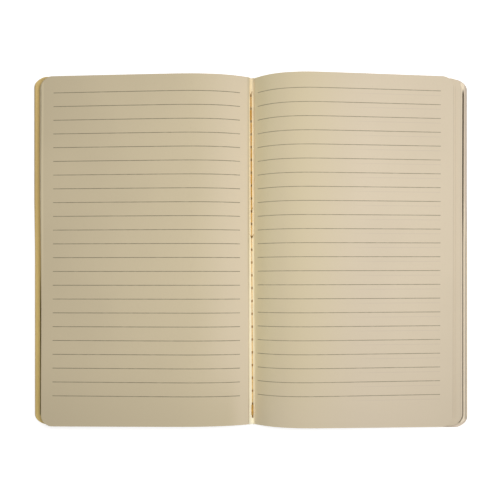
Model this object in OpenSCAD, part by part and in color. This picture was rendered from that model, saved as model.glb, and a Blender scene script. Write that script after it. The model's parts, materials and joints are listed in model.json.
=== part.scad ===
// Thin sewn notebook with a soft card cover, lying open at its centre spread.
// X runs across the spread, Y up the page and Z up from the table.
// The front cover and left page are on the -X side of the fold.

/* [Cover] */
// Height of the book along its fold
book_h = 203.2; // [140:0.1:300]
// Half the width of the opened cover
cover_w = 128; // [90:0.5:220]
// Distance that the fold lies off the middle of the opened cover
fold_x = 0.9; // [-3:0.1:3]
// Thickness of the cover card
card_t = 0.4; // [0.25:0.05:1]
// Corner radius of the cover
cover_r = 7; // [2:0.5:16]
// Width of the strip that the thread lifts off the table
lifted_w = 3.6; // [2:0.1:6]
// Width of the slope beside that strip
slope_w = 4; // [2:0.5:10]

/* [Leaves] */
// Thickness of the sheets where they are sewn through
fold_t = 1.9; // [0.8:0.1:4]
// Width of the flat floor in the gutter
gutter_w = 2.8; // [2:0.1:5]
// Width of the steep strip of page beside that floor
lip_w = 0.35; // [0.2:0.05:1]
// Corner radius of the leaves
leaf_r = 6.5; // [2:0.5:14]
// Steps into which the fanned fore-edges are grouped
fan_steps = 5; // [2:1:8]

/* [Left page] */
// Height of the left page's steep start beside the gutter
left_lip_h = 6.2; // [4:0.1:9]
// Height of the left page's crown above the table
left_crown_h = 12.9; // [10:0.1:24]
// Distance of that crown from the fold
left_crown_x = 36; // [18:1:60]
// Height of the top leaf's fore-edge above the table
left_edge_h = 7.9; // [3:0.1:16]
// Set-back of the top leaf's fore-edge from the cover's edge
left_top_back = 6.2; // [3:0.1:16]
// Set-back of the lowest leaf's fore-edge from the cover's edge
left_low_back = 2.8; // [1:0.1:6]

/* [Right page] */
// Height of the right page's steep start beside the gutter
right_lip_h = 4.9; // [4:0.1:9]
// Height of the right page's crown above the table
right_crown_h = 16; // [10:0.1:24]
// Distance of that crown from the fold
right_crown_x = 32; // [18:1:60]
// Height of the top leaf's fore-edge above the table
right_edge_h = 7.8; // [3:0.1:16]
// Set-back of the top leaf's fore-edge from the cover's edge
right_top_back = 10.1; // [4:0.1:20]
// Set-back of the lowest leaf's fore-edge from the cover's edge
right_low_back = 1; // [0.5:0.1:8]

/* [Sewing] */
// Thickness of the sewing thread
thread_d = 0.45; // [0.25:0.05:0.7]
// Diameter of the needle holes through the fold
hole_d = 1.2; // [0.9:0.05:1.8]
// Distance between two needle holes
stitch_pitch = 7.55; // [5:0.05:15]
// First needle hole, from the head of the book
head_margin = 10; // [4:0.5:30]
// Least distance from the last needle hole to the foot
foot_margin = 4; // [3:0.5:30]

/* [Hidden] */

// Room between a thread and what it lies on, and between the two threads
thread_gap = 0.04;
// The outside thread lies under the fold, so the card is lifted by its thickness
fold_lift = thread_d + 2 * thread_gap;
// Top of the card at the fold, and the floor of the gutter
card_top = fold_lift + card_t;
floor_h = card_top + fold_t;
// Points along each half of a page's curve
curve_n = 9;
side = 8;

// Each side of the cover, from the fold to its fore-edge
left_w = cover_w + fold_x;
right_w = cover_w - fold_x;

stitches = floor((book_h - head_margin - foot_margin) / stitch_pitch);
first_y = book_h / 2 - head_margin;

// Height of the card's upper face at a distance x from the fold
card_line = [
    [0, card_top],
    [lifted_w / 2, card_top],
    [lifted_w / 2 + slope_w, card_t],
];

// A point of the cubic curve with ends a and d and handles b and c
function curve(a, b, c, d, t) =
    a * pow(1 - t, 3) + 3 * b * t * pow(1 - t, 2)
    + 3 * c * t * t * (1 - t) + d * pow(t, 3);

// Top of the leaves from the gutter's floor over the crown to the fore-edge.
// It stands up steeply from the floor to the lip, bends over to the crown,
// where it is level, and then slopes evenly down to the fore-edge.
function page_line(gutter, lip, crown, edge) = concat(
    [[0, gutter[1]], gutter],
    [for (i = [0 : curve_n]) curve(
        lip,
        [lip[0] + 0.16 * (crown[0] - lip[0]), lip[1] + 0.37 * (crown[1] - lip[1])],
        [lip[0] + 0.38 * (crown[0] - lip[0]), crown[1]],
        crown,
        i / curve_n)],
    [for (i = [1 : curve_n]) curve(
        crown,
        [crown[0] + 0.12 * (edge[0] - crown[0]), crown[1]],
        [crown[0] + 0.67 * (edge[0] - crown[0]),
            edge[1] + 0.35 * (crown[1] - edge[1])],
        edge,
        i / curve_n)]);

// Between the low value at 0 and the high value at 1
function between(low, high, share) = low + share * (high - low);

// Runs a section, drawn as distance from the fold against height, along the book
module along_book(section) {
    rotate([90, 0, 0])
        linear_extrude(height = book_h, center = true)
            polygon(section);
}

// A sheet's outline from above: square at the fold, round at the outer corners
module outline(width, radius, height) {
    linear_extrude(height = height) {
        difference() {
            translate([0, -book_h / 2])
                square([width, book_h]);
            for (s = [-1, 1])
                translate([width - radius, s * (book_h / 2 - radius)])
                    rotate(s > 0 ? 0 : -90)
                        square(radius + 1);
        }
        for (s = [-1, 1])
            translate([width - radius, s * (book_h / 2 - radius)])
                circle(r = radius, $fn = 64);
    }
}

// The needle holes, through the card and the folded sheets
module needle_holes() {
    for (i = [0 : stitches])
        translate([0, first_y - i * stitch_pitch, 0])
            cylinder(d = hole_d, h = floor_h + 1, $fn = 24);
}

// One side of the card, flat on the table and lifted along its fold
module cover_half(width) {
    under = [for (i = [0 : 2]) card_line[i] - [0, card_t]];
    difference() {
        intersection() {
            along_book([
                under[0], under[1], under[2],
                [width + 1, 0], [width + 1, card_t],
                card_line[2], card_line[1], card_line[0],
            ]);
            outline(width, cover_r, card_top + 1);
        }
        needle_holes();
    }
}

// The leaves of one side. They fan out towards the fore-edge, so each group
// of leaves reaches further than the group above it.
module leaves(width, lip_h, crown_x, crown_h, edge_h, top_back, low_back) {
    difference() {
        union() {
            for (k = [1 : fan_steps]) {
                share = k / fan_steps;
                low_share = (k - 1) / (fan_steps - 1);
                reach = width - between(low_back, top_back, low_share);
                line = page_line(
                    [gutter_w / 2, between(card_top, floor_h, share)],
                    [gutter_w / 2 + lip_w, between(card_top, lip_h, share)],
                    [crown_x, between(card_t, crown_h, share)],
                    [reach, between(card_t, edge_h, share)]);
                intersection() {
                    along_book(concat(
                        line,
                        [[reach, card_t], card_line[2], card_line[1],
                            card_line[0]]));
                    outline(reach, leaf_r, crown_h + 1);
                }
            }
        }
        needle_holes();
    }
}

// Corners of a lockstitch seen from the side, along the fold: down into each
// hole, back up beside itself and over to the next hole
function stitch_path(run_h, turn_h, beside) = [
    for (i = [0 : stitches])
        let (y = first_y - i * stitch_pitch)
            for (p = [[beside, run_h], [beside, turn_h],
                    [-beside, turn_h], [-beside, run_h]])
                if (!(i == 0 && p == [beside, run_h])
                    && !(i == stitches && p == [-beside, run_h]))
                    [0, y + p[0], p[1]]
];

function unit(v) = v / norm(v);
function left_of(d) = [0, -d[2], d[1]];

// A round thread swept along corners in the YZ plane, mitred at each corner
module thread(path, d) {
    n = len(path);
    heading = [for (i = [0 : n - 2]) unit(path[i + 1] - path[i])];
    mitre = [
        for (i = [0 : n - 1])
            let (
                a = left_of(heading[max(i - 1, 0)]),
                b = left_of(heading[min(i, n - 2)])
            )
                (a + b) / (1 + a * b)
    ];
    points = [
        for (i = [0 : n - 1])
            for (k = [0 : side - 1])
                let (turn = 360 * (k + 0.5) / side)
                    path[i] + d / 2 * (cos(turn) * [1, 0, 0] + sin(turn) * mitre[i])
    ];
    wall = [
        for (i = [0 : n - 2])
            for (k = [0 : side - 1])
                [i * side + k, i * side + (k + 1) % side,
                    (i + 1) * side + (k + 1) % side, (i + 1) * side + k]
    ];
    polyhedron(
        points = points,
        faces = concat(
            wall,
            [[for (k = [side - 1 : -1 : 0]) k]],
            [[for (k = [0 : side - 1]) (n - 1) * side + k]]),
        convexity = 4);
}

// Both threads turn round each other half way down the holes
lock_h = (fold_lift + floor_h) / 2;
beside = thread_d / 2 + thread_gap;
turn_gap = thread_d / 2 + thread_gap / 2;

// The sides are drawn from the fold outwards, and this sets them on the fold
module left_of_fold() {
    translate([fold_x, 0, 0])
        mirror([1, 0, 0])
            children();
}

module right_of_fold() {
    translate([fold_x, 0, 0])
        children();
}

module front_cover() {
    color([0.74, 0.62, 0.38])
        left_of_fold()
            cover_half(left_w);
}

module back_cover() {
    color([0.74, 0.62, 0.38])
        right_of_fold()
            cover_half(right_w);
}

module left_pages() {
    color([0.78, 0.72, 0.60])
        left_of_fold()
            leaves(left_w, left_lip_h, left_crown_x, left_crown_h, left_edge_h,
                left_top_back, left_low_back);
}

module right_pages() {
    color([0.86, 0.79, 0.69])
        right_of_fold()
            leaves(right_w, right_lip_h, right_crown_x, right_crown_h, right_edge_h,
                right_top_back, right_low_back);
}

module needle_thread() {
    color([0.74, 0.55, 0.30])
        right_of_fold()
            thread(stitch_path(floor_h + thread_d / 2 + thread_gap,
                lock_h + turn_gap, beside), thread_d);
}

module bobbin_thread() {
    color([0.74, 0.55, 0.30])
        right_of_fold()
            thread(stitch_path(fold_lift - thread_d / 2 - thread_gap,
                lock_h - turn_gap, beside), thread_d);
}

front_cover();
back_cover();
left_pages();
right_pages();
needle_thread();
bobbin_thread();
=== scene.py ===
"""A thin sewn notebook with a soft card cover, lying open at its centre spread.

Every size is in metres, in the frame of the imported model: X across the
spread, Y up the page, Z up from the table.
"""

import json
import math
import random

import bpy
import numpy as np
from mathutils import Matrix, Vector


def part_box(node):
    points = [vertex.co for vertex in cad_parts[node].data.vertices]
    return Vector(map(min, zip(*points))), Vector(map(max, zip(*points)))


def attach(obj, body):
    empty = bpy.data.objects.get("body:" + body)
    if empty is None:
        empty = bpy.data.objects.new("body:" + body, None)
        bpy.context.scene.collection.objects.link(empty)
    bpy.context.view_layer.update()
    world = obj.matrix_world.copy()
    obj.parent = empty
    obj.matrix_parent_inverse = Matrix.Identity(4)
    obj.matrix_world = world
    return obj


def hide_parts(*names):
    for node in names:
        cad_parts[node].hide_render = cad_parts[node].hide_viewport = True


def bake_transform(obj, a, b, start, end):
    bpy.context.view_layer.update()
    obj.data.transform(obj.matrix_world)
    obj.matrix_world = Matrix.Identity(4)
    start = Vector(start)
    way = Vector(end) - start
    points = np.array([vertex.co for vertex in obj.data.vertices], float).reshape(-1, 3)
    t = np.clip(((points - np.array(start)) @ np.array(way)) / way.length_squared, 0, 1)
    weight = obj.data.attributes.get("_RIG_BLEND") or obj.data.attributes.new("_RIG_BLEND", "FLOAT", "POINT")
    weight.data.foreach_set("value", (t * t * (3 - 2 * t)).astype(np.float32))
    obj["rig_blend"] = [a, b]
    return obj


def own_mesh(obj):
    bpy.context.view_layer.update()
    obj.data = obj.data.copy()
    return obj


bl_info = {
    "name": "Open sewn notebook",
    "version": (1, 0, 0),
    "blender": (4, 5, 0),
    "location": "View3D > Sidebar > Notebook",
    "description": "Builds an open ruled notebook around its packed frame",
    "category": "Object",
}

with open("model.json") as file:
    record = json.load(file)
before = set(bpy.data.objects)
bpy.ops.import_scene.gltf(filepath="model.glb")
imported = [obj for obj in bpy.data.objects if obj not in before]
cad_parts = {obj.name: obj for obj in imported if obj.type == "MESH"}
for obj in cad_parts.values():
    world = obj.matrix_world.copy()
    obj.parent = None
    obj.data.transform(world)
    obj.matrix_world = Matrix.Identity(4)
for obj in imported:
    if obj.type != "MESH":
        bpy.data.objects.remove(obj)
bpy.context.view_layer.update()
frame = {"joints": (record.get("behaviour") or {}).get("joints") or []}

MM = 0.001
COVER_LOW, COVER_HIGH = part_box("back_cover")
HALF_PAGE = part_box("right_pages")[1][1]
NEEDLE_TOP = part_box("needle_thread")[1][2]
FOLD_X = COVER_LOW[0]
FOLD_HINGE = frame["joints"][0]

LEFT, RIGHT = -1, 1


# ---- settings


def length(name, description, in_mm):
    return bpy.props.FloatProperty(
        name=name, description=description, default=in_mm * MM, unit="LENGTH",
        precision=5,
    )


def whole(name, description, default):
    return bpy.props.IntProperty(name=name, description=description, default=default)


def amount(name, description, default):
    return bpy.props.FloatProperty(name=name, description=description, default=default)


def colour(name, description, default):
    return bpy.props.FloatVectorProperty(
        name=name, description=description, default=default, subtype="COLOR",
        size=3, min=0.0, max=1.0,
    )


def linear(red, green, blue):
    """A colour given as it looks on screen, from 0 to 255, in linear light."""
    parts = [part / 255 for part in (red, green, blue)]
    return tuple(
        part / 12.92 if part <= 0.04045 else ((part + 0.055) / 1.055) ** 2.4
        for part in parts
    )


class CoverSettings(bpy.types.PropertyGroup):
    card: length("Card", "Thickness of the cover card", 0.4)
    corner: length("Corner", "Corner radius of the cover", 7)
    lifted: length("Lifted strip", "Width of the strip that the thread lifts", 3.6)
    slope: length("Slope", "Width of the slope beside the lifted strip", 4)
    bend: length("Bend", "Half width of the strip that bends when it shuts", 3.4)
    curl: length("Curl", "How far the fore-edges of the card curl up", 2.0)
    curl_width: length("Curl width", "Width of the strip that curls up", 4.4)
    colour: colour("Card colour", "Colour of the kraft card", linear(216, 187, 126))


class LeafSettings(bpy.types.PropertyGroup):
    sheets: whole("Leaves", "Leaves on each side of the fold", 30)
    flat: whole("Flat leaves", "Leaves that lie flat on the cover", 12)
    paper: length("Paper", "Height that one flat leaf takes up", 0.1)
    thickness: length("Thickness", "Thickness of one leaf", 0.06)
    corner: length("Corner", "Corner radius of the leaves", 6.5)
    fold_height: length("Fold", "Height of the sewn sheets at the fold", 1.9)
    left_rise: length("Left rise", "How far the fold's left side rises", 2.1)
    right_rise: length("Right rise", "How far the fold's right side rises", 0.9)
    left_gutter: length("Left gutter", "Fold to the foot of the left page", 1.65)
    left_lip: length("Left lip", "Height of the left page beside the fold", 6.2)
    left_crown: length("Left crown", "Fold to the left page's crown", 36)
    left_crown_height: length("Left crown height", "Height of that crown", 12.9)
    left_edge: length("Left edge", "Height of the left fore-edge", 7.9)
    right_gutter: length("Right gutter", "Fold to the foot of the right page", 1.2)
    right_lip: length("Right lip", "Height of the right page beside the fold", 4.3)
    right_crown: length("Right crown", "Fold to the right page's crown", 32)
    right_crown_height: length("Right crown height", "Height of that crown", 16)
    right_edge: length("Right edge", "Height of the right fore-edge", 7.8)
    slant: length("Slant", "How far the right gutter leans over half the page", 0.12)
    # the left page's paper is darker and yellower than the right's: painted shade
    left_colour: colour("Left page", "Paper colour of the left page", linear(215, 200, 168))
    right_colour: colour("Right page", "Paper colour of the right page", linear(221, 206, 181))
    # the fold's paper is paler than the pages': painted light
    fold_colour: colour("Fold", "Paper colour inside the fold", linear(252, 238, 203))


class RulingSettings(bpy.types.PropertyGroup):
    lines: whole("Lines", "Ruled lines on a page", 23)
    pitch: length("Pitch", "Distance between two ruled lines", 8)
    left_head: length("Left head margin", "Head of the left page to its first line", 9.47)
    right_head: length("Right head margin", "Head of the right page to its first line", 9.08)
    width: length("Line", "Width of a ruled line", 0.38)
    left_start: length("Left start", "Fold to the left page's ruling", 7.0)
    left_end: length("Left end", "Fold to the end of the left ruling", 115.6)
    right_start: length("Right start", "Fold to the right page's ruling", 3.3)
    right_end: length("Right end", "Fold to the end of the right ruling", 109.3)
    colour: colour("Ink", "Colour of the ruled lines", linear(134, 126, 105))


class SewingSettings(bpy.types.PropertyGroup):
    stitches: whole("Stitches", "Stitches in the fold", 25)
    pitch: length("Pitch", "Distance between two needle holes", 7.55)
    head: length("Head", "Head of the book to the first needle hole", 10)
    thread: length("Thread", "Thickness of the sewing thread", 0.45)
    hole: length("Hole", "Diameter of a needle hole", 0.4)
    lean: length("Lean", "How far the seam leans over half its length", 0.55)
    aside: length("Aside", "How far the seam runs beside the fold", -0.15)
    change: whole("Change", "Stitch at which the finer thread takes over", 11)
    colour: colour("Thread", "Colour of the heavier thread", linear(201, 149, 28))
    fine_colour: colour("Fine thread", "Colour of the finer thread", linear(228, 190, 116))


class StageSettings(bpy.types.PropertyGroup):
    camera_height: length("Camera", "Height of the camera above the table", 400)
    camera_y: length("Camera place", "Place of the camera up the page", -17.7)
    lens: amount("Lens", "Focal length in mm", 48.56)
    key: amount("Key", "Power of the lamp in watts", 1.53)
    sky: amount("Sky", "Strength of the sky", 0.22)


# ---- sums in node trees


def sum_of(operation):
    """A method that adds a node of this operation to the tree of its Value."""
    def method(self, *others):
        node = add(self.tree, "ShaderNodeMath", operation=operation)
        for slot, item in enumerate((self, *others)):
            wire(self.tree, item, node.inputs[slot])
        return Value(self.tree, node.outputs[0])
    return method


class Value:
    """A socket of a node tree that takes part in sums like a number."""

    def __init__(self, tree, socket):
        self.tree, self.socket = tree, socket

    def __rsub__(self, other):
        return self * -1.0 + other

    __add__ = __radd__ = sum_of("ADD")
    __sub__ = sum_of("SUBTRACT")
    __mul__ = __rmul__ = sum_of("MULTIPLY")
    __truediv__ = sum_of("DIVIDE")
    __pow__ = sum_of("POWER")
    above, below = sum_of("GREATER_THAN"), sum_of("LESS_THAN")
    at_least, at_most = sum_of("MAXIMUM"), sum_of("MINIMUM")
    size, rounded = sum_of("ABSOLUTE"), sum_of("ROUND")
    sine, cosine = sum_of("SINE"), sum_of("COSINE")


def add(tree, kind, **settings):
    node = tree.nodes.new(kind)
    for name, value in settings.items():
        setattr(node, name, value)
    return node


def wire(tree, item, socket):
    """Gives a socket a fixed value or the value of another socket."""
    item = getattr(item, "socket", item)
    if isinstance(item, bpy.types.NodeSocket):
        tree.links.new(item, socket)
    else:
        socket.default_value = item


def fill(tree, node, **inputs):
    """Wires a node's inputs, named with _ for a space. Returns its first output."""
    for name, item in inputs.items():
        wire(tree, item, node.inputs[name.replace("_", " ")])
    return node.outputs[0]


def step(value, low, high, first=0.0, last=1.0):
    """A smooth step from first, at low, to last, at high."""
    node = add(value.tree, "ShaderNodeMapRange", interpolation_type="SMOOTHSTEP")
    for slot, item in enumerate((value, low, high, first, last)):
        wire(value.tree, item, node.inputs[slot])
    return Value(value.tree, node.outputs[0])


def fall(value, low, high, full=1.0):
    """A smooth fall from full, at low, to nothing, at high."""
    return step(value, low, high, full, 0.0)


def stripe(off, inner, outer, full=1.0):
    """Full where off is within inner of nought, and nothing beyond outer."""
    return fall(off.size(), inner, outer, full)


def joined(tree, x, y, z):
    return fill(tree, add(tree, "ShaderNodeCombineXYZ"), X=x, Y=y, Z=z)


def parts(tree, vector):
    node = add(tree, "ShaderNodeSeparateXYZ")
    tree.links.new(vector, node.inputs[0])
    return [Value(tree, node.outputs[slot]) for slot in range(3)]


def noise(tree, vector, scale, detail=2.0, roughness=0.5):
    return Value(tree, fill(
        tree, add(tree, "ShaderNodeTexNoise"),
        Vector=vector, Scale=scale, Detail=detail, Roughness=roughness))


# ---- materials


def opaque(tint, gains=(1.0, 1.0, 1.0)):
    """A tint at full alpha, with a gain on its red, green and blue."""
    return tuple(part * gain for part, gain in zip(tint, gains)) + (1.0,)


def screen(red, green, blue):
    """A colour at full alpha, given as it looks on screen."""
    return opaque(linear(red, green, blue))


class Coat:
    """A colour laid down in layers, each of which covers a share of it."""

    def __init__(self, tree, ground):
        self.tree, self.tone = tree, ground

    def lay(self, share, tint):
        node = add(self.tree, "ShaderNodeMix", data_type="RGBA")
        for slot, item in ((0, share), (6, self.tone), (7, tint)):
            wire(self.tree, item, node.inputs[slot])
        self.tone = node.outputs[2]
        return self


def stored(tree, name, output):
    """A value or vector that a mesh holds for each of its points."""
    return add(tree, "ShaderNodeAttribute", attribute_name=name).outputs[output]


def new_material(name):
    """A material with its tree, its shader and the Object coordinates."""
    material = bpy.data.materials.new(name)
    material.use_nodes = True
    tree = material.node_tree
    shader = tree.nodes["Principled BSDF"]
    place = add(tree, "ShaderNodeTexCoord").outputs["Object"]
    return material, tree, shader, place


def finish_material(coat, shader, roughness, specular, height, strength, distance):
    """Wires the colour, the two values and a bump into the shader."""
    tree = coat.tree
    bump = fill(
        tree, add(tree, "ShaderNodeBump"),
        Strength=strength, Distance=distance, Height=height)
    fill(
        tree, shader, Base_Color=coat.tone, Roughness=roughness,
        Specular_IOR_Level=specular, Normal=bump)


def fibres(tree, place, scale, detail, roughness=0.5):
    """Noise that is stretched along one or more axes."""
    stretched = fill(tree, add(tree, "ShaderNodeMapping"), Vector=place, Scale=scale)
    return noise(tree, stretched, 1.0, detail, roughness)


def ruled_mask(along, up, ruling, first, start, end):
    """1 on the ruled lines of a page and 0 between them."""
    lines = (first - up) / ruling.pitch
    nearest = lines.rounded()
    off = (lines - nearest).size() * ruling.pitch
    ink = fall(off, ruling.width * 0.3, ruling.width * 0.7)
    inside = nearest.above(-0.5) * nearest.below(ruling.lines - 0.5)
    return ink * inside * along.above(start) * along.below(end)


def past_outline(along, y, width, half_height, lean):
    """Distance past the outline of a sheet with round corners, negative on it."""
    over_x = along - (width - LINE_CORNER)
    over_y = y.size() - y * lean - (half_height - LINE_CORNER)
    corner = (over_x.at_least(0.0) ** 2.0 + over_y.at_least(0.0) ** 2.0) ** 0.5
    return corner + over_x.at_least(over_y).at_most(0.0) - LINE_CORNER


# Gains of paper in a slight shade
DULL = (0.93, 0.93, 0.93)
# Radius with which the painted shadow lines beside the leaves turn their corners
LINE_CORNER = 6.5 * MM
# Where up the page the painted shade at its foot begins, and where it is darkest
FOOT_SHADE = (-58 * MM, -100 * MM)
# The ruling that shows through the right page: how far it lies below the
# page's own lines, where it fades in and how strong it is
GHOST_DROP, GHOST_FADE, GHOST_SHARE = 2.7 * MM, (50 * MM, 75 * MM), 0.16
# How much the right page's ruling leans, about a line up the page
RULING_LEAN, RULING_MIDDLE = 0.003, 60 * MM


def tone_left_page(coat, tint, dull, along, y, rim):
    """Paler towards the fold, duller in it, at the foot and on low rims, and lit on high rims: painted light
    and shade.
    """
    # painted light: paler towards the fold
    coat.lay(fall(along, 2 * MM, 36 * MM), opaque(tint, (1.07, 1.07, 1.15)))
    # painted shade where the left page curls down into the fold
    painted_fold_shade_and_light = fall(along, 2.1 * MM, 3.3 * MM) * step(y, -40 * MM, 10 * MM)
    coat.lay(painted_fold_shade_and_light, dull)
    away = step(along, 5 * MM, 15 * MM, 0.25, 1.0)
    # painted shade at the foot, weaker beside the fold
    coat.lay(step(y, *FOOT_SHADE) * away, dull)
    # painted highlight on the leaves' rims, high up the page
    painted_rim_highlight = fall(rim, 0.8 * MM, 1.6 * MM, 0.25) * step(y, -40 * MM, 20 * MM)
    coat.lay(painted_rim_highlight, screen(255, 240, 200))
    # painted shade on the leaves' rims, low down the page
    painted_rim_shade = fall(rim, 0.6 * MM, 1.8 * MM, 0.2) * step(y, 0.0, -40 * MM)
    coat.lay(painted_rim_shade, dull)


def tone_right_page(coat, tint, dull, along, y, rim):
    """Yellower and duller towards the fold, greener and paler beside it and in it, darker at the foot and
    leaf edges: painted light and shade.
    """
    # painted shade and warm bounce light: duller and yellower towards the fold
    coat.lay(fall(along, 20 * MM, 68 * MM), opaque(tint, (0.945, 0.945, 0.84)))
    # painted light: paler and greener beside the fold
    coat.lay(fall(along, 3 * MM, 19 * MM), opaque(tint, (1.06, 1.085, 0.93)))
    # painted light on the right page's steep wall in the fold
    painted_fold_shade_and_light = fall(along, 1.2 * MM, 2.0 * MM, 0.8) * step(y, -20 * MM, 40 * MM, 0.6, 1.0)
    coat.lay(painted_fold_shade_and_light, opaque(tint, (1.38, 1.38, 1.3)))
    # painted shade at the foot
    coat.lay(step(y, *FOOT_SHADE) * 0.45, dull)
    # painted shade at each leaf's edge
    coat.lay(fall(rim, 0.12 * MM, 0.5 * MM, 0.15), screen(150, 130, 112))


def mark_low_leaves(coat, along, y):
    """Painted light on the rims of the lowest right leaves, and painted shadow and shade beside them."""
    # painted light on the rims of the lowest leaves
    painted_low_rim_light = step(along, 123.2 * MM, 123.7 * MM) * 0.85
    painted_low_rim_light = painted_low_rim_light + step(along, 124.6 * MM, 125 * MM) * 0.15
    coat.lay(painted_low_rim_light, screen(250, 236, 212))
    # painted shadow line between the leaf block and the lowest leaves
    off = past_outline(along, y, 124.1 * MM, 102 * MM, -0.005)
    off = off - 0.45 * MM - y.at_least(0.0) * 0.0028
    painted_gap_shadow = stripe(off, 0.3 * MM, 0.6 * MM, 0.97)
    painted_gap_shadow = painted_gap_shadow * step(y, 97 * MM, 93 * MM) * step(y, -101.9 * MM, -100.6 * MM)
    coat.lay(painted_gap_shadow * step(y, 30 * MM, 0.0, 1.0, 0.76), screen(84, 72, 56))
    # painted shade line near the lowest leaves' edge
    shaded = stripe(along - 125.95 * MM, 0.2 * MM, 0.45 * MM, 0.45)
    coat.lay(shaded * step(y, 40 * MM, 0.0), screen(118, 104, 92))


def writing_paper(name, side, tint, ruling):
    """Cream uncoated paper with grey feint ruling, a little uneven."""
    material, tree, shader, place = new_material(name)
    x, y, _ = parts(tree, place)
    along = (x - FOLD_X) * side
    rim = Value(tree, stored(tree, "rim", "Fac"))
    fibre = fibres(tree, place, (900.0, 420.0, 900.0), 4.0, 0.6)
    coat, dull = Coat(tree, opaque(tint)), opaque(tint, DULL)
    coat.lay(step(noise(tree, place, 22.0, 3.0), 0.35, 0.75) * 0.5, dull)
    coat.lay(step(fibre, 0.5, 0.8) * 0.35, dull)
    if side == LEFT:
        tone_left_page(coat, tint, dull, along, y, rim)
        up, first = y, HALF_PAGE - ruling.left_head
        start, end = ruling.left_start, ruling.left_end
        faint, full = 0.72, 1.0
    else:
        tone_right_page(coat, tint, dull, along, y, rim)
        up = y - (along - RULING_MIDDLE) * RULING_LEAN
        first = HALF_PAGE - ruling.right_head
        start, end = ruling.right_start, ruling.right_end
        faint, full = 0.62, 0.88
        ghost = ruled_mask(along, up, ruling, first - GHOST_DROP, start, end)
        coat.lay(ghost * step(along, *GHOST_FADE) * GHOST_SHARE, screen(176, 160, 158))
        mark_low_leaves(coat, along, y)
    ink = ruled_mask(along, up, ruling, first, start, end)
    ink = ink * step(noise(tree, place, 260.0), 0.2, 0.6, faint, full)
    coat.lay(ink, opaque(ruling.colour))
    finish_material(coat, shader, 0.92, 0.18, fibre, 0.12, 0.05 * MM)
    return material


def hole_count(sewing, y):
    """Needle holes from the first one down, and the way to the nearest one."""
    count = (HALF_PAGE - sewing.head - y) / sewing.pitch
    return count, (count - count.rounded()).size() * sewing.pitch


def fold_paper(leaves, sewing):
    """The inside of the fold, paler than the pages: painted light; painted shade right of the seam, and
    brown painted shade in the needle holes.
    """
    material, tree, shader, place = new_material("fold_paper")
    x, y, _ = parts(tree, place)
    count, off = hole_count(sewing, y)
    beside = x - FOLD_X - sewing.aside + y * (sewing.lean / HALF_PAGE)
    warm = screen(246, 228, 184)
    coat = Coat(tree, opaque(leaves.fold_colour))
    # painted warm shade right of the seam, low down
    coat.lay(step(beside, -0.1 * MM, 0.5 * MM) * step(y, 30 * MM, -50 * MM), warm)
    # painted light: paler still low down
    coat.lay(step(y, 50 * MM, -30 * MM), screen(255, 248, 222))
    coat.lay(step(y, 91 * MM, 93 * MM), screen(238, 223, 190))
    fibre = fibres(tree, place, (900.0, 300.0, 900.0), 4.0, 0.6)
    coat.lay(step(fibre, 0.45, 0.8) * 0.3, warm)

    # the painted shade in the needle holes is paler where the thread is finer, but for the last hole but one
    near = fall(off, 0.5 * MM, 1.0 * MM) * stripe(beside, 0.32 * MM, 0.58 * MM)
    near = near * count.above(-0.5) * count.below(sewing.stitches + 0.5)
    last = count.above(sewing.stitches - 1.5) * count.below(sewing.stitches - 0.5)
    lower = step(count, sewing.change, sewing.change + 1.0) * (1.0 - last)
    painted_hole_shade = Coat(tree, screen(128, 88, 0)).lay(lower, screen(158, 112, 30))
    coat.lay(near * 0.95, painted_hole_shade.tone)
    finish_material(coat, shader, 0.9, 0.15, fibre, 0.15, 0.05 * MM)
    return material


def kraft_card(cover):
    """Golden kraft card with long fibres and darker flecks.

    Where the open book's leaves leave its inside bare, it has painted light and a painted shadow line beside
    the left leaves, painted shade at its right rim, a darker left edge and greyer tone towards the right.
    """
    material, tree, shader, place = new_material("kraft_card")
    dark = opaque(cover.colour, (0.72, 0.72, 0.72))
    fibre = fibres(tree, place, (240.0, 900.0, 900.0), 5.0, 0.65)
    fleck = fibres(tree, place, (1400.0, 500.0, 1400.0), 2.0)
    coat = Coat(tree, opaque(cover.colour))
    coat.lay(step(fibre, 0.42, 0.75) * 0.5, opaque(cover.colour, (1.18, 1.18, 1.18)))
    coat.lay(step(fleck, 0.62, 0.8) * 0.6, dark)
    coat.lay(step(noise(tree, place, 30.0, 2.0), 0.4, 0.75) * 0.25, dark)

    inside = Value(tree, stored(tree, "inside", "Fac"))
    x, y, _ = parts(tree, stored(tree, "open_place", "Vector"))
    along = FOLD_X - x
    # painted light on the card beside the left leaves, where they shade it
    painted_light_left = step(x, -127.2 * MM, -125.9 * MM) * step(y, 70 * MM, -60 * MM, 0.35, 1.0)
    coat.lay(painted_light_left * inside, screen(255, 226, 148))
    left_edge = step(along, 127.6 * MM, 128.4 * MM) * step(y, -20 * MM, 60 * MM)
    coat.lay(left_edge * inside * 0.7, screen(140, 130, 92))
    coat.lay(step(x, 105 * MM, 112 * MM) * inside * 0.9, screen(224, 210, 196))
    # painted shade at the card's right rim
    coat.lay(step(x, 127.0 * MM, 127.6 * MM) * inside * 0.4, screen(150, 138, 112))
    # painted shadow line on the card beside the left leaves
    off = past_outline(
        along - y.at_least(0.0) * 0.006, y, 124.75 * MM, 101.9 * MM, 0.003)
    painted_gap_shadow = stripe(off - 0.35 * MM, 0.15 * MM, 0.45 * MM, 0.95)
    painted_gap_shadow = painted_gap_shadow * step(y, 0.0, -35 * MM, 0.1, 1.0) * inside * x.below(0.0)
    coat.lay(painted_gap_shadow, screen(60, 48, 24))
    finish_material(coat, shader, 0.8, 0.25, fibre, 0.25, 0.06 * MM)
    return material


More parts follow.
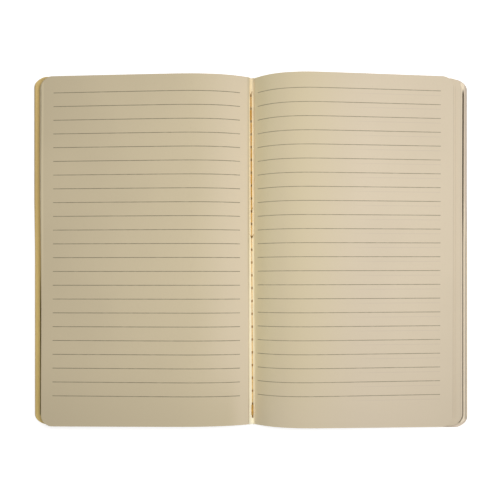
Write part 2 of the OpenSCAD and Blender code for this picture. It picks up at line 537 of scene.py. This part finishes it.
def ochre_thread(sewing, name, worn):
    """Plied thread: heavy and ochre at the head, finer and paler below.

    worn is the share of it that is brown all over.
    """
    material, tree, shader, place = new_material(name)
    _, y, _ = parts(tree, place)
    count, off = hole_count(sewing, y)
    brown = screen(112, 80, 4)
    last = count.above(sewing.stitches - 1.0)
    lower = step(count, sewing.change - 4.0, sewing.change + 1.0) * (1.0 - last)
    strand = fibres(tree, place, (2600.0, 900.0, 2600.0), 3.0)
    coat = Coat(tree, opaque(sewing.colour))
    coat.lay(lower, opaque(sewing.fine_colour))
    coat.lay(last * 0.45, screen(222, 184, 112))
    coat.lay(step(strand, 0.4, 0.75) * 0.45, brown)
    # painted shade where the thread dives into the needle holes, weaker on the finer thread
    coat.lay(fall(off, 0.35 * MM, 0.95 * MM) * (0.85 - lower * 0.4), brown)
    coat.lay(worn, brown)
    fill(tree, shader, Sheen_Weight=0.03, Sheen_Roughness=0.5)
    finish_material(coat, shader, 0.7, 0.5, strand, 0.3, 0.04 * MM)
    return material


# ---- meshes


def finished(piece):
    """Smooths the curved faces of a piece and keeps its cut edges sharp."""
    piece.data.shade_smooth()
    piece.data.set_sharp_from_angle(angle=math.radians(40))
    return piece


def linked(name, data):
    """A new object in the scene that holds the data."""
    item = bpy.data.objects.new(name, data)
    bpy.context.scene.collection.objects.link(item)
    return item


def baked(maker, name):
    """The plain mesh that an object makes with its modifiers, in its place."""
    bpy.context.view_layer.update()
    depsgraph = bpy.context.evaluated_depsgraph_get()
    mesh = bpy.data.meshes.new_from_object(maker.evaluated_get(depsgraph))
    maker.modifiers.clear()
    bpy.data.objects.remove(maker)
    mesh.name = name
    return linked(name, mesh)


def grown(tree, name, values, rows):
    """The plain mesh that a node tree makes.

    values holds the tree's inputs, and each of the rows is one repeat of the
    pattern with its own numbers. A row's top is its place up the page.
    """
    seed = bpy.data.meshes.new(name + "_rows")
    seed.from_pydata([(0.0, row.get("top", 0.0), 0.0) for row in rows], [], [])
    for word in rows[0]:
        column = seed.attributes.new(word, "FLOAT", "POINT")
        column.data.foreach_set("value", [row[word] for row in rows])
    maker = linked(name + "_maker", seed)
    shape = maker.modifiers.new("shape", "NODES")
    shape.node_group = tree
    for item in tree.interface.items_tree:
        if item.name in values:
            shape[item.identifier] = values[item.name]
    piece = baked(maker, name)
    held = piece.data.attributes
    for word in rows[0]:
        if word in held:
            held.remove(held[word])
    return piece


class Inputs:
    """The numbers that a geometry tree is given, each made on its first use."""

    def __init__(self, tree):
        self.tree, self.node = tree, add(tree, "NodeGroupInput")

    def __getattr__(self, name):
        if name not in self.node.outputs:
            self.tree.interface.new_socket(name, socket_type="NodeSocketFloat")
        return Value(self.tree, self.node.outputs[name])


def new_tree(name):
    """A geometry tree for rows of points, with its inputs."""
    tree = bpy.data.node_groups.new(name, "GeometryNodeTree")
    for item, way, kind in (
            ("rows", "INPUT", "Geometry"), ("finish", "INPUT", "Material"),
            ("mesh", "OUTPUT", "Geometry")):
        tree.interface.new_socket(item, in_out=way, socket_type="NodeSocket" + kind)
    return tree, Inputs(tree)


def own(tree, word):
    """A number that each repeat of the pattern has of its own."""
    return Value(tree, plugged(tree, "InputNamedAttribute", Name=word))


def plugged(tree, kind, **inputs):
    """Adds a geometry node that is filled in at once."""
    return fill(tree, add(tree, "GeometryNode" + kind), **inputs)


def close_tree(tree, mesh, material):
    mesh = plugged(tree, "RealizeInstances", Geometry=mesh)
    mesh = plugged(tree, "SetMaterial", Geometry=mesh, Material=material)
    tree.links.new(mesh, add(tree, "NodeGroupOutput").inputs[0])


def sheet_piece(name, rows, columns, thickness, material, left_out):
    """A sheet of the given thickness, hung below a grid of points.

    rows holds values that columns(row) turns into points, and left_out holds
    the (row, column) cells that are open.
    """
    grid = [columns(row) for row in rows]
    width = len(grid[0])
    points = [point for line in grid for point in line]
    cells = [
        (row, column) for row in range(len(grid) - 1) for column in range(width - 1)
        if (row, column) not in left_out]
    first = [row * width + column for row, column in cells]
    faces = [(at, at + 1, at + width + 1, at + width) for at in first]
    mesh = bpy.data.meshes.new(name + "_surface")
    mesh.from_pydata(points, [], faces)
    mesh.materials.append(material)
    surface = linked(name + "_surface", mesh)
    wall = surface.modifiers.new("thickness", "SOLIDIFY")
    wall.thickness = thickness
    wall.offset = -1.0
    wall.use_even_offset = False
    return baked(surface, name)


def joined_piece(name, pieces):
    """One mesh out of several that share a material."""
    points, faces = [], []
    for piece in pieces:
        offset = len(points)
        points += [vertex.co[:] for vertex in piece.data.vertices]
        faces += [[offset + k for k in face.vertices] for face in piece.data.polygons]
    mesh = bpy.data.meshes.new(name)
    mesh.from_pydata(points, [], faces)
    mesh.materials.append(pieces[0].data.materials[0])
    for piece in pieces:
        bpy.data.objects.remove(piece)
    return linked(name, mesh)


def needle_rows(sewing, steps_between):
    """Places up the fold at which a strip is cut for its needle holes.

    Returns the places, from foot to head, and the rows that hold a hole.
    """
    head, half = HALF_PAGE, sewing.hole / 2
    places, holes = [-head], []
    for stitch in range(sewing.stitches, -1, -1):
        centre = head - sewing.head - stitch * sewing.pitch
        low, last = centre - half, places[-1]
        places += [last + (low - last) * k / steps_between for k in range(1, steps_between)]
        places.append(low)
        holes.append(len(places) - 1)
        places.append(centre + half)
    places.append(head)
    return places, holes


# ---- cover


# Distance from the fold to each fore-edge of the card
REACH = {LEFT: COVER_HIGH[0] + FOLD_X, RIGHT: COVER_HIGH[0] - FOLD_X}
# The card isn't trimmed quite square: how much it grows towards each
# fore-edge, at its head and at its foot
TRIM = {LEFT: (0.016, 0.0045), RIGHT: (0.0045, 0.0205)}
# How far each fore-edge stands out from its place, at its head and at its foot
STAND = {LEFT: (-0.75 * MM, -1.15 * MM), RIGHT: (-0.6 * MM, -0.35 * MM)}
# The share of half the height over which the stand changes
STAND_CHANGE = 0.3
# How much closer than the others the left corner at the foot is cut
FOOT_CORNER_CUT = 0.7 * MM
# Columns of points beside the fold, after it and round a corner
NEAR_FOLD = [0.5 * MM, 1.1 * MM, 1.8 * MM, 2.6 * MM, 3.4 * MM, 4.6 * MM, 5.8 * MM]
AFTER_FOLD, ROUND_CORNER = 12 * MM, 12


def side_of(along):
    return RIGHT if along > 0 else LEFT


def card_height(cover, along):
    """Height of the card's upper face, lifted at the fold and curled at its end."""
    top, flat = COVER_HIGH[2], cover.card
    beyond = abs(along) - cover.lifted / 2
    share = min(1.0, max(0.0, beyond / cover.slope))
    share = share * share * (3 - 2 * share)
    into = abs(along) - REACH[side_of(along)] + cover.curl_width
    curled = max(0.0, into / cover.curl_width)
    return top + (flat - top) * share + cover.curl * curled * curled


def corner_columns(end, radius):
    """Distances from the fold to end, close together round a corner at end."""
    straight = [AFTER_FOLD + (end - radius - AFTER_FOLD) * k / 6 for k in range(7)]
    corner = [
        end - radius + radius * math.sin(math.pi / 2 * k / ROUND_CORNER)
        for k in range(1, ROUND_CORNER + 1)
    ]
    return NEAR_FOLD + straight + corner


def make_cover(context):
    cover = context.scene.notebook_cover
    half_height = COVER_HIGH[1]
    left = corner_columns(REACH[LEFT], cover.corner)
    across = [-along for along in reversed(left)]
    across += corner_columns(REACH[RIGHT], cover.corner)
    places, holes = needle_rows(context.scene.notebook_sewing, 1)

    def reach_up(along, share):
        """Half the card's height at a distance from the fold."""
        cut = FOOT_CORNER_CUT if along < 0 and share < 0 else 0.0
        radius = cover.corner - cut
        into = min(max(0.0, abs(along) - (REACH[side_of(along)] - radius)), radius)
        return half_height - radius + math.sqrt(max(0.0, radius ** 2 - into ** 2))

    def columns(place):
        share = place / half_height
        swing = max(0.0, min(1.0, share / STAND_CHANGE))
        line = []
        for along in across:
            side = side_of(along)
            head, foot = TRIM[side]
            y = place if abs(along) < 10 * MM else share * reach_up(along, share)
            y += abs(along) * (head * (1 + share) - foot * (1 - share)) / 2
            high, low = STAND[side]
            stand = (low + (high - low) * swing) * (abs(along) / REACH[side]) ** 4
            line.append((FOLD_X + along + stand * side, y, card_height(cover, along)))
        return line

    middle = len(left) - 1
    piece = sheet_piece(
        "folded_cover", places, columns, cover.card, kraft_card(cover),
        {(row, middle) for row in holes})
    points = [point.co for point in piece.data.vertices]
    column = piece.data.attributes.new("inside", "FLOAT", "POINT")
    column.data.foreach_set("value", [
        float(point.z > card_height(cover, point.x - FOLD_X) - cover.card / 2)
        for point in points])
    column = piece.data.attributes.new("open_place", "FLOAT_VECTOR", "POINT")
    column.data.foreach_set("vector", [part for point in points for part in point])
    finished(piece)
    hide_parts("front_cover", "back_cover")
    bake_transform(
        piece, "back_half", "front_half",
        start=(FOLD_X + cover.bend, 0, 0), end=(FOLD_X - cover.bend, 0, 0),
    )


# ---- leaves


# Points across and up a leaf
LEAF_GRID = (58, 13)
# Shares of its points at which a leaf's wall, its rise and its run end
ENDS = (0.07, 0.42, 0.72)
# Width of that wall, and height of the waves towards the fore-edge
WALL_WIDTH, RIPPLE = 0.35 * MM, 0.9 * MM


def leaf_tree():
    """Leaves that rise from the fold over a crown and fan out to their edges.

    Every row is a leaf, with the heights at which it starts, bends at the lip
    beside the fold, crowns and ends, its reach, and its share in the fan. Each
    point keeps its distance from the fore-edge as its rim.
    """
    tree, g = new_tree("fanned_leaves")
    flat_sheet = plugged(
        tree, "MeshGrid", Size_X=1.0, Size_Y=1.0,
        Vertices_X=LEAF_GRID[0], Vertices_Y=LEAF_GRID[1])
    copies = plugged(tree, "InstanceOnPoints", Points=g.rows, Instance=flat_sheet)
    mesh = plugged(tree, "RealizeInstances", Geometry=copies)
    start, lip, crown, edge, reach, fan, leaf = (
        own(tree, word) for word in "start lip crown edge reach fan leaf".split())
    u, v, _ = parts(tree, plugged(tree, "InputPosition"))
    u, v = u + 0.5, v * 2.0
    lip = lip + g.lip_lean * v * fan
    crown = crown + g.crown_lean * v * fan
    edge = edge + g.edge_lean * v * fan
    reach = reach + g.low_skew * (v * 2.5).at_least(-1.0).at_most(1.0) * (1.0 - fan * 0.6)

    # up beside the fold, over to the crown, on towards the edge, round the corners
    wall, rise, run, turn = (
        ((u - low) / (high - low)).at_least(0.0).at_most(1.0)
        for low, high in zip((0.0, *ENDS), (*ENDS, 1.0)))
    turn = turn * (math.pi / 2)
    rest = 1.0 - rise
    early, late = rise * rest * rest * 3.0, rise * rise * rest * 3.0
    out = early * g.lip_reach + late * g.crown_reach + rise ** 3.0
    lift = early * g.lip_rise + late + rise ** 3.0
    x = (
        g.gutter + g.wall * wall
        + (g.crown_x - g.gutter - g.wall) * out
        + (reach - g.corner - g.crown_x) * run
        + g.corner * turn.sine()
    )
    beyond = ((x - g.crown_x) / (reach - g.crown_x)).at_least(0.0)
    sag = beyond * beyond * (g.bend + 1.0) / (beyond + g.bend)
    z = start + (lip - start) * wall + (crown - lip) * lift - (crown - edge) * sag
    ripple = noise(tree, joined(tree, v * 1.4, leaf * 0.05, x * 9.0), 1.0, 1.0) - 0.5
    z = z + ripple * g.ripple * beyond * fan
    curled = ((x - g.curl_start) / g.curl_width).at_least(0.0)
    z = z + g.curl * curled * curled
    y = v * (g.half_height - g.corner + g.corner * turn.cosine())
    y = y + x * 0.5 * (g.head_trim * (v + 1.0) - g.foot_trim * (1.0 - v))
    y = y + g.head_up * 0.5 * (1.0 + v) + g.foot_up * 0.5 * (1.0 - v)
    lean = g.slant * v * fall(x, 1.4 * MM, 26 * MM)
    rimmed = plugged(
        tree, "StoreNamedAttribute", Geometry=mesh, Name="rim", Value=reach - x)
    x = (x - lean) * g.side + g.fold_x
    sheet = plugged(
        tree, "SetPosition", Geometry=rimmed, Position=joined(tree, x, y, z))

    below = plugged(
        tree, "ExtrudeMesh", Mesh=sheet, Offset=(0.0, 0.0, -1.0),
        Offset_Scale=g.thickness, Individual=False)
    below = plugged(tree, "FlipFaces", Mesh=below)
    both = add(tree, "GeometryNodeJoinGeometry")
    tree.links.new(below, both.inputs[0])
    tree.links.new(sheet, both.inputs[0])
    mesh = plugged(tree, "MergeByDistance", Geometry=both.outputs[0], Distance=0.001 * MM)
    mesh = plugged(tree, "FlipFaces", Mesh=mesh, Selection=g.side.below(0.0))
    close_tree(tree, mesh, g.finish)
    return tree


# The form of each page. Bend is how near to the crown the slope to the fore-edge
# begins, a lean is how much a height grows from the middle to the head, a trim
# how much the leaves grow towards the fore-edge, and an up how far they lie up
# the page. Lip reach, lip rise and crown reach bend the rise to the crown, and
# the low skew lets the low leaves reach further at the head.
LEFT_FORM = dict(
    bend=0.1,
    lip_lean=-1.4 * MM, crown_lean=-0.5 * MM, edge_lean=-1.4 * MM,
    head_trim=0.0, foot_trim=0.007, head_up=0.4 * MM, foot_up=0.8 * MM,
    lip_reach=0.17, lip_rise=0.45, crown_reach=0.45, low_skew=0.7 * MM,
)
RIGHT_FORM = dict(
    bend=0.06,
    lip_lean=0.8 * MM, crown_lean=1.8 * MM, edge_lean=0.9 * MM,
    head_trim=-0.001, foot_trim=0.0075, head_up=-0.2 * MM, foot_up=0.1 * MM,
    lip_reach=0.15, lip_rise=0.3, crown_reach=0.32, low_skew=0.0,
)
# Numbers of leaves, from the lowest up, and their set-back from the cover in mm
LEFT_STEPS = [(3, 4.0), (6, 4.2), (5, 4.5), (5, 4.9), (4, 5.4), (4, 5.9), (3, 6.4)]
RIGHT_STEPS = [(3, 0.5), (6, 3.1), (5, 3.4), (6, 4.8), (4, 8.3), (3, 9.6), (3, 10.1)]
# The side, name, body, form, steps and seed of each page
PAGES = (
    (LEFT, "left", "front_half", LEFT_FORM, LEFT_STEPS, 3),
    (RIGHT, "right", "back_half", RIGHT_FORM, RIGHT_STEPS, 8),
)
# How far the edges of leaves stray in their height and in their reach, in mm
STRAY_HEIGHT, STRAY_REACH = 0.05, 0.12
# Power that spreads the fan's heights
FAN_BEND = 0.9
# Room between the shut book's pages and the middle between its covers
SHUT_ROOM = 0.03 * MM


def leaf_rows(leaves, cover, page, width, steps, seed):
    """The numbers of every leaf of one side, from the lowest up."""
    shaken = random.Random(seed)
    back = [step_back * MM for count, step_back in steps for _ in range(count)]
    rows = []
    for number in range(leaves.sheets):
        share = (number + 1) / leaves.sheets
        fan = max(0.0, (number + 1 - leaves.flat) / (leaves.sheets - leaves.flat))
        stack = cover.card + min(number + 1, leaves.flat) * leaves.paper
        start = COVER_HIGH[2] + share * (leaves.fold_height + share * page["rise"])
        top_start = COVER_HIGH[2] + leaves.fold_height + page["rise"]
        loose = 0.0 if number == leaves.sheets - 1 else MM
        up = shaken.uniform(-STRAY_HEIGHT, STRAY_HEIGHT) * loose
        out = shaken.uniform(-STRAY_REACH, STRAY_REACH) * loose
        rows.append(dict(
            leaf=float(number),
            fan=fan,
            start=start,
            lip=start + (page["lip"] - top_start) * share * fan,
            crown=stack + (page["crown_height"] - stack) * fan ** FAN_BEND,
            edge=stack + (page["edge"] - stack) * fan ** FAN_BEND + fan * up,
            reach=width - back[number] + out,
        ))
    return rows


def make_leaves(context):
    cover = context.scene.notebook_cover
    leaves = context.scene.notebook_leaves
    tree = leaf_tree()
    stack_top = cover.card + leaves.flat * leaves.paper
    shut_top = FOLD_HINGE["pos_m"][2] - SHUT_ROOM
    for side, word, body, form, steps, seed in PAGES:
        page = {
            item: getattr(leaves, f"{word}_{item}")
            for item in "gutter lip crown crown_height edge rise colour".split()}
        values = dict(
            side=float(side),
            half_height=HALF_PAGE,
            fold_x=FOLD_X,
            gutter=page["gutter"],
            slant=leaves.slant if side == RIGHT else 0.0,
            wall=WALL_WIDTH,
            crown_x=page["crown"],
            corner=leaves.corner,
            thickness=leaves.thickness,
            ripple=RIPPLE,
            curl=cover.curl,
            curl_start=REACH[side] - cover.curl_width,
            curl_width=cover.curl_width,
            finish=writing_paper(
                word + "_paper", side, page["colour"], context.scene.notebook_ruling),
            **form,
        )
        rows = leaf_rows(leaves, cover, page, REACH[side], steps, seed)
        for part, kept in (("lower", rows[:leaves.flat]), ("upper", rows[leaves.flat:])):
            piece = finished(grown(tree, f"{word}_{part}_leaves", values, kept))
            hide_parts(f"{word}_pages")
            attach(piece, body)
            if part == "upper":
                highest = page["crown_height"] + abs(form["crown_lean"])
                keep = (shut_top - stack_top) / (highest - stack_top)
                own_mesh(piece)


# ---- fold


# Thickness of a folded sheet, and how far it reaches under the leaves
FOLD_SHEET, FOLD_UNDER = 0.05 * MM, 0.05 * MM
# The share of its rise that a folded sheet has half way up its side
HALF_WAY = 0.42
# How far the folded sheets stand past the head in their last millimetres
PAST_HEAD = 0.4 * MM
# The share of the sheets, from below, that the needle left shut
UNPIERCED = 0.6


def make_fold(context):
    """The folded sheets between the two sides, with the innermost one on top."""
    leaves = context.scene.notebook_leaves
    sewing = context.scene.notebook_sewing
    paper = fold_paper(leaves, sewing)
    places, holes = needle_rows(sewing, 2)
    half = sewing.hole / 2
    pieces = []
    for sheet in range(1, leaves.sheets + 1):
        share = sheet / leaves.sheets
        height = COVER_HIGH[2] + share * leaves.fold_height
        left_rise, right_rise = (
            rise * share * share for rise in (leaves.left_rise, leaves.right_rise))

        def columns(place):
            lean = -place / HALF_PAGE
            seam = sewing.aside + sewing.lean * lean
            left = -leaves.left_gutter - FOLD_UNDER
            right = leaves.right_gutter + leaves.slant * lean + FOLD_UNDER
            points = [
                (left, left_rise), ((left + seam - half) / 2, left_rise * HALF_WAY),
                (seam - half, 0.0), (seam + half, 0.0),
                ((right + seam + half) / 2, right_rise * HALF_WAY), (right, right_rise),
            ]
            y = place + PAST_HEAD * max(0.0, place / HALF_PAGE) ** 8
            return [(FOLD_X + x, y, height + up) for x, up in points]

        pieces.append(sheet_piece(
            f"fold_sheet_{sheet}", places, columns, FOLD_SHEET, paper,
            {(row, 2) for row in holes} if share > UNPIERCED else ()))
    piece = finished(joined_piece("folded_sheets", pieces))
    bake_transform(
        piece, "back_half", "front_half",
        start=(FOLD_X + leaves.right_gutter, 0, 0),
        end=(FOLD_X - leaves.left_gutter, 0, 0))


# ---- sewing


# Plies of the thread, their turns in a stitch, the radius of one in thread
# thicknesses, and how far it lies off the middle in such radii
PLIES, TURNS, PLY, OFF_MIDDLE = 3, 4.0, 0.27, 0.95
# How far from a hole a stitch begins to dive into it, and how much it narrows
DIVE, NARROWED = 1.1 * MM, 0.45
# How deep the inside thread dives, and how high the outside one rises
INSIDE_DIP, OUTSIDE_DIP = 1.3 * MM, -0.7 * MM


def stitch_tree():
    """A seam of plied stitches that dive into the needle holes.

    Every row is a stitch, at its upper needle hole, with its heft.
    """
    tree, g = new_tree("plied_stitches")
    strand = plugged(
        tree, "CurveSpiral", Resolution=8, Rotations=TURNS,
        Start_Radius=g.twist_radius, End_Radius=g.twist_radius,
        Height=g.pitch)
    plies = add(tree, "GeometryNodeJoinGeometry")
    for ply in range(PLIES):
        turned = plugged(
            tree, "Transform", Geometry=strand,
            Rotation=(0.0, 0.0, math.radians(360 / PLIES * ply)))
        tree.links.new(turned, plies.inputs[0])
    circle = plugged(tree, "CurvePrimitiveCircle", Resolution=6, Radius=g.ply)
    tube = plugged(
        tree, "CurveToMesh", Curve=plies.outputs[0], Profile_Curve=circle,
        Fill_Caps=True)
    across, up, along = parts(tree, plugged(tree, "InputPosition"))
    tube = plugged(
        tree, "SetPosition", Geometry=tube,
        Position=joined(tree, across, along * -1.0, up))
    heft = own(tree, "heft")
    seam = plugged(
        tree, "InstanceOnPoints", Points=g.rows, Instance=tube,
        Scale=joined(tree, heft, 1.0, heft))
    seam = plugged(tree, "RealizeInstances", Geometry=seam)
    x, y, z = parts(tree, plugged(tree, "InputPosition"))
    along = own(tree, "top") - y
    to_hole = along.at_most(g.pitch - along)
    into = fall(to_hole, 0.0, DIVE)
    narrow = 1.0 - into * NARROWED
    x = x * narrow + own(tree, "aside") * (1.0 - into)
    z = z * narrow - g.dip * into + g.run_height
    seam = plugged(
        tree, "SetPosition", Geometry=seam,
        Position=joined(
            tree, x + g.fold_x - g.lean * y / g.half_length, y, z))
    close_tree(tree, seam, g.finish)
    return tree


# How thick each stitch of the inside thread looks, from the head down, and
# how far two of them lie aside of the seam
HEFTS = [
    1.7, 3.2, 1.9, 1.7, 1.9, 1.7, 2.0, 1.8, 1.7, 1.9, 1.6, 1.1, 1.0,
    1.1, 1.2, 1.1, 1.1, 1.2, 1.3, 1.2, 1.3, 1.3, 1.4, 1.4, 3.2,
]
ASIDES = {1: -0.22 * MM, len(HEFTS) - 1: -0.15 * MM}
OUTSIDE_HEFT = 0.8
# Loose ends of thread beside the fold, in mm: where they start, as distance
# from the seam and place up the page, and the place at which they meet it
TAILS = [
    (-1.35, 10.2, 8.0), (1.15, 9.9, 8.1), (-0.9, 93.6, 91.6), (0.75, 94.0, 91.7),
    (0.7, 25.6, 24.4),
]
TAIL_RADIUS = 0.13 * MM
# The share of the loose ends that is brown
TAIL_WORN = 0.45


def thread_tails(sewing, thread):
    """Short loose ends that lie in the fold and run into its seam."""
    curve = bpy.data.curves.new("thread_tails", "CURVE")
    curve.dimensions = "3D"
    curve.bevel_depth = TAIL_RADIUS
    curve.bevel_resolution = 2
    curve.use_fill_caps = True
    run = NEEDLE_TOP - sewing.thread * 0.3
    for aside, high, low in TAILS:
        seam = FOLD_X + sewing.aside - sewing.lean * low * MM / HALF_PAGE
        spline = curve.splines.new("BEZIER")
        spline.bezier_points.add(2)
        places = (
            (seam + aside * MM, high * MM, run + abs(aside) * 0.9 * MM),
            (seam + aside * 0.45 * MM, (high * 0.4 + low * 0.6) * MM, run + 0.3 * MM),
            (seam, low * MM, run),
        )
        for point, place in zip(spline.bezier_points, places):
            point.co = place
            point.handle_left_type = point.handle_right_type = "AUTO"
    curve.materials.append(thread)
    return baked(linked("thread_tails_curve", curve), "thread_tails")


def make_sewing(context):
    sewing = context.scene.notebook_sewing
    tree = stitch_tree()
    ply = sewing.thread * PLY
    common = dict(
        pitch=sewing.pitch,
        ply=ply,
        twist_radius=ply * OFF_MIDDLE,
        half_length=HALF_PAGE,
        fold_x=FOLD_X + sewing.aside,
        lean=sewing.lean,
        finish=ochre_thread(sewing, "ochre_thread", 0.0),
    )
    first = HALF_PAGE - sewing.head
    tops = [first - stitch * sewing.pitch for stitch in range(sewing.stitches)]
    inside = grown(
        tree, "inside_thread",
        dict(common, run_height=NEEDLE_TOP - sewing.thread * 0.5, dip=INSIDE_DIP),
        [{"top": top, "heft": HEFTS[stitch], "aside": ASIDES.get(stitch, 0.0)}
         for stitch, top in enumerate(tops)])
    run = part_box("bobbin_thread")[0][2] + sewing.thread * 0.5
    outside = grown(
        tree, "outside_thread",
        dict(common, run_height=run, dip=OUTSIDE_DIP),
        [{"top": top, "heft": OUTSIDE_HEFT, "aside": 0.0} for top in tops])
    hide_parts("needle_thread")
    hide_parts("bobbin_thread")
    tails = thread_tails(sewing, ochre_thread(sewing, "worn_thread", TAIL_WORN))
    for piece in (tails, inside, outside):
        finished(piece)
        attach(piece, "back_half")


# ---- stage


# Half the width of the table, and its top, just under the card
TABLE_HALF, TABLE_TOP = 2.0, -0.02 * MM
# Colour of the table, and how much it glows to the camera
TABLE_COLOUR, TABLE_GLOW = (0.8, 0.8, 0.8, 1.0), 0.6
# The lamp above the right page
LAMP_SIZE, LAMP_PLACE = 0.3, (0.10, 0.04, 0.42)
# How far the camera's picture is shifted, in widths of it
SHIFT = (-0.001, 0.063)


def white_table():
    """White to the camera, but with the object's shadow on it."""
    material, tree, shader, _ = new_material("white_table")
    fill(tree, shader, Base_Color=TABLE_COLOUR, Roughness=1.0, Specular_IOR_Level=0.0)
    seen = add(tree, "ShaderNodeLightPath").outputs
    ray = Value(tree, seen["Is Camera Ray"])
    for other in ("Is Glossy Ray", "Is Transmission Ray"):
        ray = ray.at_least(Value(tree, seen[other]))
    glow = fill(tree, add(tree, "ShaderNodeEmission"), Strength=ray * TABLE_GLOW)
    both = add(tree, "ShaderNodeAddShader")
    tree.links.new(shader.outputs[0], both.inputs[0])
    tree.links.new(glow, both.inputs[1])
    tree.links.new(both.outputs[0], tree.nodes["Material Output"].inputs["Surface"])
    return material


def make_stage(context):
    """The table, the soft lamp that looks at the book, the sky and the camera."""
    scene, stage = context.scene, context.scene.notebook_stage
    mesh = bpy.data.meshes.new("table")
    corners = [(-1, -1), (1, -1), (1, 1), (-1, 1)]
    mesh.from_pydata(
        [(x * TABLE_HALF, y * TABLE_HALF, TABLE_TOP) for x, y in corners],
        [], [(0, 1, 2, 3)])
    mesh.materials.append(white_table())
    linked("table", mesh)

    light = bpy.data.lights.new("key_lamp", "AREA")
    light.shape = "SQUARE"
    light.size = LAMP_SIZE
    light.energy = stage.key
    lamp = linked("key_lamp", light)
    lamp.location = LAMP_PLACE
    lamp.rotation_euler = (-lamp.location).to_track_quat("-Z", "Y").to_euler()

    world = bpy.data.worlds.new("soft_sky")
    world.use_nodes = True
    sky = world.node_tree.nodes["Background"]
    fill(world.node_tree, sky, Color=(1.0, 1.0, 1.0, 1.0), Strength=stage.sky)
    scene.world = world

    lens = bpy.data.cameras.new("camera")
    lens.lens = stage.lens
    lens.sensor_width = 36.0
    lens.shift_x, lens.shift_y = SHIFT
    camera = linked("camera", lens)
    camera.location = (0.0, stage.camera_y, stage.camera_height)
    scene.camera = camera
    scene.view_settings.view_transform = "Standard"


# ---- operators


class NOTEBOOK_OT_set_stage(bpy.types.Operator):
    """Sets the table, the lamp, the sky and the camera"""
    bl_idname = "notebook.set_stage"
    bl_label = "Set stage"

    def execute(self, context):
        make_stage(context)
        return {"FINISHED"}


class NOTEBOOK_OT_fold_cover(bpy.types.Operator):
    """Makes the folded card cover"""
    bl_idname = "notebook.fold_cover"
    bl_label = "Fold cover"

    def execute(self, context):
        make_cover(context)
        return {"FINISHED"}


class NOTEBOOK_OT_fan_leaves(bpy.types.Operator):
    """Makes the ruled leaves on both sides of the fold"""
    bl_idname = "notebook.fan_leaves"
    bl_label = "Fan leaves"

    def execute(self, context):
        make_leaves(context)
        return {"FINISHED"}


class NOTEBOOK_OT_fold_sheets(bpy.types.Operator):
    """Makes the folded sheets at the bottom of the gutter"""
    bl_idname = "notebook.fold_sheets"
    bl_label = "Fold sheets"

    def execute(self, context):
        make_fold(context)
        return {"FINISHED"}


class NOTEBOOK_OT_sew_fold(bpy.types.Operator):
    """Sews the fold with its inside and outside thread"""
    bl_idname = "notebook.sew_fold"
    bl_label = "Sew fold"

    def execute(self, context):
        make_sewing(context)
        return {"FINISHED"}


OPERATORS = (
    NOTEBOOK_OT_set_stage, NOTEBOOK_OT_fold_cover, NOTEBOOK_OT_fan_leaves,
    NOTEBOOK_OT_fold_sheets, NOTEBOOK_OT_sew_fold,
)
SETTINGS = {
    "notebook_cover": CoverSettings,
    "notebook_leaves": LeafSettings,
    "notebook_ruling": RulingSettings,
    "notebook_sewing": SewingSettings,
    "notebook_stage": StageSettings,
}


class NOTEBOOK_PT_sidebar(bpy.types.Panel):
    """Settings and steps of the notebook"""
    bl_idname = "NOTEBOOK_PT_sidebar"
    bl_label = "Notebook"
    bl_space_type = "VIEW_3D"
    bl_region_type = "UI"
    bl_category = "Notebook"

    def draw(self, context):
        for name, group in SETTINGS.items():
            box = self.layout.box()
            for item in group.__annotations__:
                box.prop(getattr(context.scene, name), item)
        for operator in OPERATORS:
            self.layout.operator(operator.bl_idname)


CLASSES = (*SETTINGS.values(), *OPERATORS, NOTEBOOK_PT_sidebar)


def register():
    for item in CLASSES:
        bpy.utils.register_class(item)
    for name, group in SETTINGS.items():
        setattr(bpy.types.Scene, name, bpy.props.PointerProperty(type=group))


def unregister():
    for name in SETTINGS:
        delattr(bpy.types.Scene, name)
    for item in reversed(CLASSES):
        bpy.utils.unregister_class(item)


def main():
    register()
    bpy.ops.notebook.set_stage()
    bpy.ops.notebook.fold_cover()
    bpy.ops.notebook.fan_leaves()
    bpy.ops.notebook.fold_sheets()
    bpy.ops.notebook.sew_fold()


if __name__ == "__main__":
    main()
